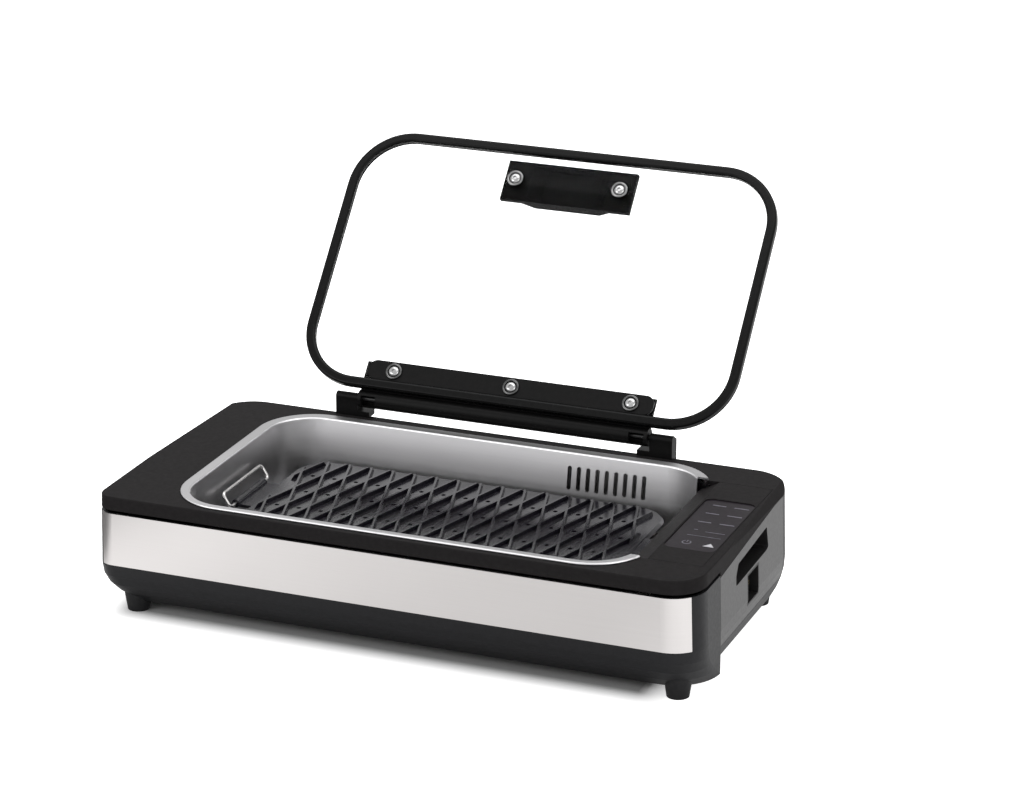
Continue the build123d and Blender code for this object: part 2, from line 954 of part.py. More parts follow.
# Console over the right end of the basin
with BuildPart() as control_console:
    with BuildSketch(Plane.XZ.offset(console_half_length)):
        with BuildLine():
            Polyline(
                (console_left, console_low),
                (console_ridge, cover_top),
                (console_right, cover_top),
                (console_right, console_base),
                (seat_left, console_base),
                (seat_left, console_base - console_wall),
                (console_left, console_low - console_wall),
                close=True,
            )
        make_face()
    extrude(amount=-2 * console_half_length)
    with BuildPart(mode=Mode.PRIVATE) as console_hollow:
        with BuildSketch(Plane.XZ.offset(console_half_length - console_wall)):
            with BuildLine():
                Polyline(
                    (console_left + console_wall, console_low - console_wall),
                    (console_ridge + console_wall * 0.3, cover_top - console_wall),
                    (console_right - console_wall, cover_top - console_wall),
                    (console_right - console_wall, 0.0),
                    (console_left + console_wall, 0.0),
                    close=True,
                )
            make_face()
        extrude(amount=-2 * (console_half_length - console_wall))
    add(console_hollow.part, mode=Mode.SUBTRACT)
    panel_outline = even(panel_width, panel_length, panel_corner, panel_centre_x, panel_centre_y)
    with BuildSketch(Plane.XY.offset(cover_top)):
        add(panel_outline)
        offset(amount=panel_gap)
    extrude(amount=-panel_recess, mode=Mode.SUBTRACT)

with BuildPart() as control_overlay:
    with BuildSketch(Plane.XY.offset(cover_top - panel_recess)):
        add(panel_outline)
    extrude(amount=panel_thickness)

# Open lid, drawn in its own plane: x along the hinge, y up the glass, z towards the food
lean = math.radians(lid_lean)
lid_up = Vector(0, math.sin(lean), math.cos(lean))
lid_normal = Vector(0, -math.cos(lean), math.sin(lean))
lid_origin = Vector(0, lid_edge_y, lid_edge_z)


def lid_plane(height):
    """Plane parallel to the glass."""
    return Plane(origin=lid_origin + lid_normal * height, x_dir=(1, 0, 0), z_dir=lid_normal)


def lid_point(x, up, height):
    """Point given in the lid's own plane."""
    place = lid_origin + lid_up * up + lid_normal * height
    return (x, place.Y, place.Z)


def lid_ring(grow):
    """Rounded outline parallel to the middle of the rim."""
    return even(lid_width + 2 * grow, lid_length + 2 * grow, lid_corner + grow, 0.0, lid_length / 2)


def lid_slab(outline, low, high):
    """Outline in the lid's plane pushed from one height to another."""
    with BuildPart() as solid:
        with BuildSketch(lid_plane(low)):
            add(outline)
        extrude(amount=high - low)
    return solid.part


glass_outer_face = glass_inner_face - glass_thickness
hinge_up = Vector(0, hinge_y, hinge_z).sub(lid_origin).dot(lid_up)
hinge_out = Vector(0, hinge_y, hinge_z).sub(lid_origin).dot(lid_normal)
seal_inner_top = glass_inner_face + hinge_seal
hinge_plate_top = seal_inner_top + hinge_plate_thickness
seal_outer_low = glass_outer_face - hinge_seal
flange_low = seal_outer_low - hinge_flange_thickness
hinge_places = [(hinge_screw_centre + step * hinge_screw_pitch, hinge_screw_row) for step in (-1, 0, 1)]
handle_places = [(handle_middle + step * handle_screw_pitch / 2, handle_centre) for step in (-1, 1)]
shank_radius = 2.0
shank_clearance = 0.2
head_radius = 5.0
head_height = 2.6
washer_radius = 7.0
washer_thickness = 1.0

with BuildPart() as lid_glass:
    with BuildSketch(lid_plane(glass_outer_face)):
        add(lid_ring(-glass_inset))
    extrude(amount=glass_thickness)
    with BuildSketch(lid_plane(glass_outer_face)):
        with Locations(*hinge_places, *handle_places):
            Circle(shank_radius + shank_clearance)
    extrude(amount=glass_thickness, mode=Mode.SUBTRACT)

with BuildPart() as lid_rim:
    with BuildSketch(lid_plane(rim_outer_face)):
        add(lid_ring(rim_width / 2))
        add(lid_ring(-rim_width / 2), mode=Mode.SUBTRACT)
    extrude(amount=rim_inner_face - rim_outer_face)
    flat_faces = lid_rim.faces().filter_by(Plane(origin=lid_origin, x_dir=(1, 0, 0), z_dir=lid_normal))
    fillet(flat_faces.edges(), rim_rounding)
    with BuildSketch(lid_plane(glass_outer_face - glass_fit / 4)):
        add(lid_ring(-glass_inset + glass_fit))
    extrude(amount=glass_thickness + glass_fit / 2, mode=Mode.SUBTRACT)

plate_middle = (hinge_plate_low + hinge_plate_high) / 2
plate_reach = hinge_plate_high - hinge_plate_low
plate_flat = even(2 * hinge_plate_half, plate_reach, 8.0, 0.0, plate_middle)
with BuildPart() as hinge_seals:
    add(lid_slab(plate_flat, glass_inner_face, seal_inner_top))
    add(lid_slab(plate_flat, seal_outer_low, glass_outer_face))
    with BuildSketch(lid_plane(seal_outer_low)):
        with Locations(*hinge_places):
            Circle(shank_radius + shank_clearance)
    extrude(amount=seal_inner_top - seal_outer_low, mode=Mode.SUBTRACT)

with BuildPart() as hinge_plate:
    add(lid_slab(plate_flat, seal_inner_top, hinge_plate_top))
    with BuildSketch(lid_plane(seal_inner_top)):
        with Locations(*hinge_places):
            Circle(shank_radius)
    extrude(amount=hinge_plate_thickness, mode=Mode.SUBTRACT)

# Hinge bar: a flange behind the glass that bends down to a barrel on the hinge axis
with BuildPart() as hinge_bar:
    bar_end = hinge_middle - hinge_half_length
    bar_start = Plane(origin=(bar_end, lid_edge_y, lid_edge_z), x_dir=lid_up, z_dir=(1, 0, 0))
    with BuildSketch(bar_start):
        with Locations((hinge_up, hinge_out)):
            Circle(barrel_radius)
        with BuildLine():
            Polyline(
                (hinge_plate_high, seal_outer_low),
                (hinge_plate_high, flange_low),
                (-1.0, flange_low),
                (hinge_up, hinge_out - barrel_radius),
                (hinge_up, hinge_out + 2.0),
                (-6.0, seal_outer_low - 1.2),
                (-1.0, seal_outer_low - 0.3),
                (hinge_plate_low, seal_outer_low - 0.3),
                (hinge_plate_low, seal_outer_low),
                close=True,
            )
        make_face()
    extrude(amount=2 * hinge_half_length)
    for sign in (-1, 1):
        window_middle = hinge_middle + sign * (hinge_window_from + hinge_window_to) / 2
        window_width = hinge_window_to - hinge_window_from
        window = block(
            window_middle - window_width / 2,
            window_middle + window_width / 2,
            hinge_y - 2 * barrel_radius,
            hinge_y,
            hinge_z - hinge_window_rise,
            hinge_z + hinge_window_rise,
        )
        add(window, mode=Mode.SUBTRACT)
        bore_start = (hinge_middle + sign * (hinge_half_length + 1.0), hinge_y, hinge_z)
        bore_end = (hinge_middle + sign * (hinge_window_from - 3.0), hinge_y, hinge_z)
        add(rod(hinge_pin_radius + pin_clearance, bore_start, bore_end), mode=Mode.SUBTRACT)
    with BuildSketch(lid_plane(flange_low)):
        with Locations(*hinge_places):
            Circle(shank_radius)
    extrude(amount=hinge_flange_thickness, mode=Mode.SUBTRACT)


def round_screw(x, up, head_low, shank_low, height):
    """Round head screw that stands square to the glass."""
    with BuildPart() as screw:
        with BuildSketch(lid_plane(head_low)):
            with Locations((x, up)):
                Circle(head_radius)
        extrude(amount=height)
        above = lid_point(x, up, head_low + 2 * height)
        top_edge = screw.edges().filter_by(GeomType.CIRCLE).sort_by_distance(above)[0]
        fillet(top_edge, height * 0.6)
        with BuildSketch(lid_plane(head_low)):
            with Locations((x, up)):
                Circle(shank_radius)
        extrude(amount=shank_low - head_low)
        with BuildSketch(lid_plane(head_low + height)):
            with Locations((x, up)):
                RegularPolygon(1.9, 6)
        extrude(amount=-1.4, mode=Mode.SUBTRACT)
    return screw.part


with BuildPart() as hinge_screws:
    for place in hinge_places:
        add(round_screw(place[0], place[1], hinge_plate_top, flange_low, head_height))

handle_low = glass_outer_face - glass_fit / 4
wing_low = handle_low - handle_wing
washer_top = glass_inner_face + washer_thickness
with BuildPart() as handle_washers:
    with BuildSketch(lid_plane(glass_inner_face)):
        with Locations(*handle_places):
            Circle(washer_radius)
            Circle(shank_radius, mode=Mode.SUBTRACT)
    extrude(amount=washer_thickness)

with BuildPart() as handle_screws:
    for place in handle_places:
        add(round_screw(place[0], place[1], washer_top, wing_low + 0.8, head_height))

with BuildPart() as lid_handle:
    handle_side = Plane(
        origin=lid_origin + lid_up * (handle_centre - handle_depth / 2) + Vector(handle_middle, 0, 0),
        x_dir=(1, 0, 0),
        z_dir=lid_up,
    )
    half_handle = handle_length / 2
    with BuildSketch(handle_side) as handle_profile:
        with BuildLine():
            Polyline(
                (-half_handle, -handle_low),
                (half_handle, -handle_low),
                (half_handle, -wing_low),
                (handle_slope_out + handle_wing, -wing_low),
                (handle_slope_in + handle_wing, -handle_low + handle_height),
                (-handle_slope_in - handle_wing, -handle_low + handle_height),
                (-handle_slope_out - handle_wing, -wing_low),
                (-half_handle, -wing_low),
                close=True,
            )
        make_face()
        fillet(handle_profile.vertices().group_by(Axis.Y)[0], 0.6)
    extrude(amount=handle_depth)
    with BuildPart(mode=Mode.PRIVATE) as handle_hollow:
        with BuildSketch(handle_side.offset(handle_wall)):
            with BuildLine():
                Polyline(
                    (-handle_slope_out, -handle_low),
                    (handle_slope_out, -handle_low),
                    (handle_slope_in, -handle_low + handle_height - handle_wall),
                    (-handle_slope_in, -handle_low + handle_height - handle_wall),
                    close=True,
                )
            make_face()
        extrude(amount=handle_depth - 2 * handle_wall)
    add(handle_hollow.part, mode=Mode.SUBTRACT)
    with BuildSketch(lid_plane(handle_low)):
        with Locations(*handle_places):
            Circle(shank_radius)
    extrude(amount=wing_low + 0.8 - handle_low, mode=Mode.SUBTRACT)

# Posts that carry the hinge pins, hooked over the rear edge of the body

def hinge_post(sign):
    """Post with a round top on the hinge axis and a leg behind the body."""
    inner = hinge_middle + sign * post_inner
    outer = hinge_middle + sign * post_outer
    foot = hinge_middle + sign * post_foot_inner
    with BuildPart() as post:
        with BuildSketch(Plane.YZ.offset(inner)):
            with Locations((hinge_y, hinge_z)):
                Circle(post_radius)
            with Locations(((post_front + post_back) / 2, (hinge_z + cover_top) / 2)):
                Rectangle(post_back - post_front, hinge_z - cover_top)
            with Locations(((half_depth + post_back) / 2, (cover_top + post_leg_low) / 2)):
                Rectangle(post_back - half_depth, cover_top - post_leg_low)
            with Locations((post_front - large / 2, hinge_z)):
                Rectangle(large, large, mode=Mode.SUBTRACT)
        extrude(amount=outer - inner)
        add(
            block(
                min(foot, inner),
                max(foot, inner),
                post_front,
                post_back,
                cover_top,
                cover_top + post_foot_height,
            )
        )
        pin_middle = (inner + outer) / 2
        pin_start = (inner - sign, hinge_y, hinge_z)
        pin_end = (outer - 3.0 * sign, hinge_y, hinge_z)
        add(rod(hinge_pin_radius, pin_start, pin_end), mode=Mode.SUBTRACT)
        for step in (-post_screw_step, post_screw_step):
            screw_start = (pin_middle + step, post_back, post_screw_z)
            screw_end = (pin_middle + step, half_depth, post_screw_z)
            add(rod(screw_radius, screw_start, screw_end), mode=Mode.SUBTRACT)
    return post.part


hinge_post_left = hinge_post(-1)
hinge_post_right = hinge_post(1)

with BuildPart() as hinge_pins:
    for sign in (-1, 1):
        pin_start = (hinge_middle + sign * (hinge_window_from - 2.0), hinge_y, hinge_z)
        pin_end = (hinge_middle + sign * (post_outer - 3.0), hinge_y, hinge_z)
        add(rod(hinge_pin_radius, pin_start, pin_end))

post_screw_places = []
for sign in (-1, 1):
    for step in (-post_screw_step, post_screw_step):
        post_screw_places.append(hinge_middle + sign * (post_inner + post_outer) / 2 + step)

with BuildPart() as post_screws:
    for x in post_screw_places:
        head_face = (x, post_back, post_screw_z)
        add(rod(screw_radius, head_face, (x, half_depth - post_screw_length, post_screw_z)))
        add(rod(screw_head_radius, head_face, (x, post_back + 2.2, post_screw_z)))

# Blower that draws smoke through the vents and blows it out below
def on_fan_axis(y):
    """Point on the axis of the blower."""
    return (blower_x, y, blower_z)


with BuildPart() as fan_duct:
    add(block(duct_left, duct_turn, basin_back - floor_inset_y - 2.0, duct_back, duct_bottom, duct_top))
    add(block(duct_turn, duct_right, duct_face, duct_back, duct_bottom, duct_top))
    add(rod(intake_radius + duct_wall, on_fan_axis(scroll_back), on_fan_axis(duct_face + 1.0)))
    add(
        block(
            duct_left + duct_wall,
            duct_turn,
            0.0,
            duct_back - duct_wall,
            duct_bottom + duct_wall,
            duct_top - duct_wall,
        ),
        mode=Mode.SUBTRACT,
    )
    add(
        block(
            duct_turn - 1.0,
            duct_right - duct_wall,
            duct_face + duct_wall,
            duct_back - duct_wall,
            duct_bottom + duct_wall,
            duct_top - duct_wall,
        ),
        mode=Mode.SUBTRACT,
    )
    add(
        rod(intake_radius, on_fan_axis(scroll_back - 1.0), on_fan_axis(duct_face + 3.0)),
        mode=Mode.SUBTRACT,
    )
    add(basin_space.part, mode=Mode.SUBTRACT)

exhaust_top = blower_z
exhaust_bottom = tub_bottom + tub_wall


def scroll_profile(inset, bottom):
    """Outline of the scroll and of the pipe that leads down from it."""
    with BuildSketch() as profile:
        with Locations((blower_x, blower_z)):
            Circle(scroll_radius - inset)
        with Locations((exhaust_left + exhaust_width / 2, (exhaust_top + bottom) / 2)):
            Rectangle(exhaust_width - 2 * inset, exhaust_top - bottom)
    return profile.sketch


with BuildPart() as fan_scroll:
    with BuildSketch(Plane.XZ.offset(-scroll_front)):
        add(scroll_profile(0.0, exhaust_bottom))
    extrude(amount=scroll_front - scroll_back)
    with BuildSketch(Plane.XZ.offset(-scroll_front - scroll_wall)):
        add(scroll_profile(scroll_wall, 0.0))
    extrude(amount=scroll_front - scroll_back + 2 * scroll_wall, mode=Mode.SUBTRACT)
    add(
        rod(intake_radius, on_fan_axis(scroll_back - 3.0), on_fan_axis(scroll_back)),
        mode=Mode.SUBTRACT,
    )
    add(
        rod(2 * shaft_radius, on_fan_axis(scroll_front), on_fan_axis(scroll_front + 3.0)),
        mode=Mode.SUBTRACT,
    )

disc_thickness = 1.2
impeller_front = scroll_front + scroll_wall + 1.5
impeller_back = scroll_back - scroll_wall - 1.5
hub_radius = 4.0
with BuildPart() as fan_impeller:
    ring_start = on_fan_axis(impeller_back - disc_thickness)
    ring_end = on_fan_axis(impeller_back)
    add(rod(impeller_radius, on_fan_axis(impeller_front), on_fan_axis(impeller_front + disc_thickness)))
    add(rod(hub_radius, on_fan_axis(impeller_front), on_fan_axis(impeller_back - 6.0)))
    add(rod(impeller_radius, ring_start, ring_end))
    add(rod(impeller_inner, ring_start, ring_end), mode=Mode.SUBTRACT)
    with BuildSketch(Plane.XZ.offset(-impeller_front)):
        with Locations((blower_x, blower_z)):
            with PolarLocations((impeller_radius + impeller_inner) / 2, blade_count):
                Rectangle(impeller_radius - impeller_inner - 0.6, blade_thickness, rotation=35)
    extrude(amount=impeller_front - impeller_back)
    add(
        rod(shaft_radius, on_fan_axis(impeller_front), on_fan_axis(impeller_back - 8.0)),
        mode=Mode.SUBTRACT,
    )

shaft_end = scroll_front - 12.0
with BuildPart() as fan_shaft:
    add(rod(shaft_radius, on_fan_axis(shaft_end), on_fan_axis(impeller_back - 8.0)))

with BuildPart() as fan_motor:
    add(rod(motor_radius, on_fan_axis(scroll_front - motor_length), on_fan_axis(scroll_front)))
    fillet(fan_motor.edges().filter_by(GeomType.CIRCLE).sort_by(Axis.Y)[0], 2.0)
    add(
        rod(shaft_radius + pin_clearance, on_fan_axis(shaft_end - 0.5), on_fan_axis(scroll_front)),
        mode=Mode.SUBTRACT,
    )

# Electrical parts inside the right end
with BuildPart() as power_board:
    with Locations((board_x, board_y, board_z + board_thickness / 2)):
        Box(board_width, board_length, board_thickness)

board_top = board_z + board_thickness
with BuildPart() as power_components:
    with BuildSketch(Plane.XY.offset(board_top)):
        with Locations((board_x - 6.0, board_y + 30.0)):
            Rectangle(16.0, 20.0)
        with Locations((board_x + 6.0, board_y + 6.0)):
            Rectangle(15.0, 19.0)
    extrude(amount=15.0)
    with BuildSketch(Plane.XY.offset(board_top)):
        with Locations((board_x - 7.0, board_y + 4.0), (board_x + 6.0, board_y - 36.0)):
            Circle(5.0)
        with Locations((board_x - 6.0, board_y - 22.0)):
            Rectangle(14.0, 16.0)
    extrude(amount=12.0)

socket_inner = end_face - inlet_depth
with BuildPart() as inlet_socket:
    add(
        block(
            socket_inner,
            end_face,
            inlet_front - inlet_wall,
            inlet_front + inlet_width + inlet_wall,
            inlet_bottom - inlet_wall,
            inlet_bottom + inlet_height + inlet_wall,
        )
    )
    add(body_outer, mode=Mode.INTERSECT)
    add(
        block(
            socket_inner + 2 * inlet_wall,
            large,
            inlet_front,
            inlet_front + inlet_width,
            inlet_bottom,
            inlet_bottom + inlet_height,
        ),
        mode=Mode.SUBTRACT,
    )

pin_step = 7.0
pin_rise = 2.0
pin_tip = half_width - 4.5
with BuildPart() as inlet_pins:
    for step, rise in ((-pin_step, -pin_rise), (0.0, pin_rise), (pin_step, -pin_rise)):
        middle_y = inlet_middle_y + step
        middle_z = inlet_middle_z + rise
        add(
            block(
                socket_inner + 2 * inlet_wall,
                pin_tip,
                middle_y - 1.0,
                middle_y + 1.0,
                middle_z - 2.0,
                middle_z + 2.0,
            )
        )

with BuildPart() as element_bushings:
    for side in (-1, 1):
        y = basin_y + side * terminal_y
        bushing_start = (basin_half_width - floor_inset_x - 1.0, y, element_z)
        bushing_end = (element_end - 3.0, y, element_z)
        add(rod(element_radius + 2.4, bushing_start, bushing_end))
        add(rod(element_radius, bushing_start, bushing_end), mode=Mode.SUBTRACT)
    add(basin_space.part, mode=Mode.SUBTRACT)

cutout_radius = 8.0
cutout_length = 6.0
with BuildPart() as thermal_cutout:
    cutout_x = basin_half_width - floor_inset_x
    cutout_start = (cutout_x - 2.0, basin_y, element_z)
    cutout_end = (cutout_x + cutout_length, basin_y, element_z)
    add(rod(cutout_radius, cutout_start, cutout_end))
    add(basin_space.part, mode=Mode.SUBTRACT)

sensor_x = plate_half_length - 22.0
sensor_y = basin_y - plate_depth / 2 + 11.0
with BuildPart() as thermal_sensor:
    add(rod(2.0, (sensor_x, sensor_y, basin_floor + basin_sheet), (sensor_x, sensor_y, plate_under)))
    add(rod(4.0, (sensor_x, sensor_y, plate_under - 3.0), (sensor_x, sensor_y, plate_under)))
    add(
        rod(
            4.0,
            (sensor_x, sensor_y, basin_floor + basin_sheet),
            (sensor_x, sensor_y, basin_floor + basin_sheet + 4.0),
        )
    )

shield_width = basin_width - 43.0
shield_depth = basin_depth - 53.0
shield_corner = 24.0
shield_z = 43.0
shield_sheet = 1.0
shield_leg = 4.0
shield_outline = even(shield_width, shield_depth, shield_corner, 0.0, basin_y)
with BuildPart() as heat_shield:
    add(slab(shield_outline, shield_z, shield_z + shield_sheet))
    with BuildSketch(Plane.XY.offset(tub_bottom + tub_wall)):
        with Locations((0.0, basin_y)):
            with GridLocations(shield_width - 60.0, shield_depth - 50.0, 2, 2):
                Circle(shield_leg)
    extrude(amount=shield_z - tub_bottom - tub_wall)

# Touch panel: board, springs and screws below the console
console_under = cover_top - console_wall
spring_height = 1.8
control_board_top = console_under - spring_height
key_columns = (panel_centre_x - 7.0, panel_centre_x + 12.5)
key_rows = (41.0, 22.0, 2.0, -20.0, -45.0)
key_places = [(x, y) for x in key_columns for y in key_rows]
with BuildPart() as control_board:
    with Locations((panel_centre_x, panel_centre_y, control_board_top - board_thickness / 2)):
        Box(panel_width - 4.0, panel_length, board_thickness)

with BuildPart() as touch_springs:
    with BuildSketch(Plane.XY.offset(control_board_top)):
        with Locations(*key_places):
            Circle(3.4)
            Circle(2.4, mode=Mode.SUBTRACT)
    extrude(amount=spring_height)


def save(part, label):
    """Write one piece to its own file."""
    part.label = label
    export_step(part, f"parts/{label}.step")


save(base_tub.part, "base_tub")
save(front_band.part, "front_band")
save(end_cover_left, "end_cover_left")
save(end_cover_right, "end_cover_right")
save(top_cover.part, "top_cover")
save(case_screws.part, "case_screws")
foot_labels = ("foot_front_left", "foot_front_right", "foot_rear_right", "foot_rear_left")
for foot_part, foot_label in zip(foot_parts, foot_labels):
    save(foot_part, foot_label)
save(basin.part, "basin")
save(basin_seal.part, "basin_seal")
save(drip_tray.part, "drip_tray")
save(heating_element.part, "heating_element")
save(element_bearers.part, "element_bearers")
save(element_bushings.part, "element_bushings")
save(thermal_sensor.part, "thermal_sensor")
save(thermal_cutout.part, "thermal_cutout")
save(heat_shield.part, "heat_shield")
save(grill_plate.part, "grill_plate")
save(bail_left, "bail_left")
save(bail_right, "bail_right")
save(control_console.part, "control_console")
save(control_overlay.part, "control_overlay")
save(control_board.part, "control_board")
save(touch_springs.part, "touch_springs")
save(power_board.part, "power_board")
save(power_components.part, "power_components")
save(inlet_socket.part, "inlet_socket")
save(inlet_pins.part, "inlet_pins")
save(fan_duct.part, "fan_duct")
save(fan_scroll.part, "fan_scroll")
save(fan_impeller.part, "fan_impeller")
save(fan_shaft.part, "fan_shaft")
save(fan_motor.part, "fan_motor")
save(lid_glass.part, "lid_glass")
save(lid_rim.part, "lid_rim")
save(hinge_seals.part, "hinge_seals")
save(hinge_plate.part, "hinge_plate")
save(hinge_bar.part, "hinge_bar")
save(hinge_screws.part, "hinge_screws")
save(lid_handle.part, "lid_handle")
save(handle_washers.part, "handle_washers")
save(handle_screws.part, "handle_screws")
save(hinge_post_left, "hinge_post_left")
save(hinge_post_right, "hinge_post_right")
save(hinge_pins.part, "hinge_pins")
save(post_screws.part, "post_screws")
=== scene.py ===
import bpy
import bmesh
import math
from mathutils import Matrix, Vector


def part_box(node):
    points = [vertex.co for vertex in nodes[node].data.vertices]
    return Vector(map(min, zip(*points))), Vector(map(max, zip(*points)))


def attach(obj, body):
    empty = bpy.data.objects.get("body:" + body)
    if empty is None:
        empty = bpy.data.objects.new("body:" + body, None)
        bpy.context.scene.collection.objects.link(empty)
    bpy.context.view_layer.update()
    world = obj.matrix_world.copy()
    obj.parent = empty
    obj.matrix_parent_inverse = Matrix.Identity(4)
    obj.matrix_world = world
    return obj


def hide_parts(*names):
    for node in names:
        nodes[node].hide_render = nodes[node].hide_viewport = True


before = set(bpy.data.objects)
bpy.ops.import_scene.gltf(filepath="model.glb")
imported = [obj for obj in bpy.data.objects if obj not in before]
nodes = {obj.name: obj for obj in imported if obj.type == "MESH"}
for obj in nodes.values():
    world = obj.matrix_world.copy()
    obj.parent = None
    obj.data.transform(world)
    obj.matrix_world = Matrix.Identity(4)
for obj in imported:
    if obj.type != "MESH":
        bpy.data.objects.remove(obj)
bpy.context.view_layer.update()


# Node helpers. Noise scales are per metre of object space.
def node_material(name):
    """New material, its node tree and its shader."""
    material = bpy.data.materials.new(name)
    material.use_nodes = True
    tree = material.node_tree
    return material, tree, tree.nodes["Principled BSDF"]


def object_space(tree, scale=(1.0, 1.0, 1.0)):
    """Object coordinates with their own scale on each axis."""
    coordinates = tree.nodes.new("ShaderNodeTexCoord")
    mapping = tree.nodes.new("ShaderNodeMapping")
    mapping.inputs["Scale"].default_value = scale
    tree.links.new(coordinates.outputs["Object"], mapping.inputs["Vector"])
    return mapping.outputs["Vector"]


def noise(tree, vector, scale, detail=3.0, roughness=0.5):
    texture = tree.nodes.new("ShaderNodeTexNoise")
    texture.inputs["Scale"].default_value = scale
    texture.inputs["Detail"].default_value = detail
    texture.inputs["Roughness"].default_value = roughness
    tree.links.new(vector, texture.inputs["Vector"])
    return texture.outputs["Fac"]


def spread(tree, value, low, high, start=0.3, end=0.7):
    """Value moved from its own range, by default the middle of a noise, to another one."""
    change = tree.nodes.new("ShaderNodeMapRange")
    change.inputs["From Min"].default_value = start
    change.inputs["From Max"].default_value = end
    change.inputs["To Min"].default_value = low
    change.inputs["To Max"].default_value = high
    tree.links.new(value, change.inputs["Value"])
    return change.outputs["Result"]


def two_tones(tree, value, first, second):
    """Blend of two colours over the middle of a noise."""
    ramp = tree.nodes.new("ShaderNodeValToRGB")
    for element, position, colour in zip(
        ramp.color_ramp.elements, (0.35, 0.65), (first, second)
    ):
        element.position = position
        element.color = (*colour, 1.0)
    tree.links.new(value, ramp.inputs["Fac"])
    return ramp.outputs["Color"]


def calculate(tree, operation, *values):
    """Math node on plain numbers and the outputs of other nodes."""
    node = tree.nodes.new("ShaderNodeMath")
    node.operation = operation
    for socket, value in zip(node.inputs, values):
        if isinstance(value, float):
            socket.default_value = value
        else:
            tree.links.new(value, socket)
    return node.outputs[0]


def scaled(tree, colour, share):
    """Colour times a share."""
    product = tree.nodes.new("ShaderNodeVectorMath")
    product.operation = "SCALE"
    tree.links.new(colour, product.inputs[0])
    tree.links.new(share, product.inputs["Scale"])
    return product.outputs["Vector"]


def bump(tree, shader, value, distance):
    relief = tree.nodes.new("ShaderNodeBump")
    relief.inputs["Distance"].default_value = distance
    relief.inputs["Strength"].default_value = 1.0
    tree.links.new(value, relief.inputs["Height"])
    tree.links.new(relief.outputs["Normal"], shader.inputs["Normal"])


# Kinds of material
tone_scale = 220.0
gloss_scale = 320.0
grain_detail = 2.0
line_detail = 6.0
line_roughness = 0.7
cloud_scale = 9.0
anisotropy = 0.5
glass_tone_scale = 5.0
glass_gloss_scale = 20.0
glass_ior = 1.09


def plastic(name, first, second, rough, grain=0.0, depth=0.0, specular=0.2):
    """Moulded plastic: two close tones, uneven gloss and a fine grain."""
    material, tree, shader = node_material(name)
    space = object_space(tree)
    tones = two_tones(tree, noise(tree, space, tone_scale), first, second)
    gloss = spread(tree, noise(tree, space, gloss_scale), *rough)
    tree.links.new(tones, shader.inputs["Base Color"])
    tree.links.new(gloss, shader.inputs["Roughness"])
    shader.inputs["Specular IOR Level"].default_value = specular
    if grain:
        bump(tree, shader, noise(tree, space, grain, grain_detail), depth)
    return material


def brushed(name, first, second, stretch, rough, depth):
    """Metal with fine lines, which run across the axes where the scale is large."""
    material, tree, shader = node_material(name)
    lines = noise(tree, object_space(tree, stretch), 1.0, line_detail, line_roughness)
    cloud = noise(tree, object_space(tree), cloud_scale)
    half_lines = calculate(tree, "MULTIPLY", lines, 0.5)
    mixed = calculate(tree, "MULTIPLY_ADD", cloud, 0.5, half_lines)
    tree.links.new(two_tones(tree, mixed, first, second), shader.inputs["Base Color"])
    tree.links.new(spread(tree, lines, *rough), shader.inputs["Roughness"])
    shader.inputs["Metallic"].default_value = 1.0
    shader.inputs["Anisotropic"].default_value = anisotropy
    bump(tree, shader, lines, depth)
    return material


def by_height(material, low, high, low_share, high_share, rougher=0.0):
    """Changes a material's tone, and adds roughness, between two heights of the object."""
    tree = material.node_tree
    colour, roughness = (
        tree.nodes["Principled BSDF"].inputs[name] for name in ("Base Color", "Roughness")
    )
    split = tree.nodes.new("ShaderNodeSeparateXYZ")
    tree.links.new(object_space(tree), split.inputs[0])
    height = split.outputs["Z"]
    share = spread(tree, height, low_share, high_share, low, high)
    tree.links.new(scaled(tree, colour.links[0].from_socket, share), colour)
    if rougher:
        added = spread(tree, height, 0.0, rougher, low, high)
        gloss = calculate(tree, "ADD", roughness.links[0].from_socket, added)
        tree.links.new(gloss, roughness)


def clear_glass(name, first, second, rough):
    """Thin clear glass that casts no shadow."""
    material, tree, shader = node_material(name)
    space = object_space(tree)
    tones = two_tones(tree, noise(tree, space, glass_tone_scale), first, second)
    gloss = spread(tree, noise(tree, space, glass_gloss_scale), *rough)
    tree.links.new(tones, shader.inputs["Base Color"])
    tree.links.new(gloss, shader.inputs["Roughness"])
    shader.inputs["Transmission Weight"].default_value = 1.0
    shader.inputs["IOR"].default_value = glass_ior
    through = tree.nodes.new("ShaderNodeBsdfTransparent")
    path = tree.nodes.new("ShaderNodeLightPath")
    mix = tree.nodes.new("ShaderNodeMixShader")
    tree.links.new(path.outputs["Is Shadow Ray"], mix.inputs["Fac"])
    tree.links.new(shader.outputs[0], mix.inputs[1])
    tree.links.new(through.outputs[0], mix.inputs[2])
    tree.links.new(mix.outputs[0], tree.nodes["Material Output"].inputs["Surface"])
    return material


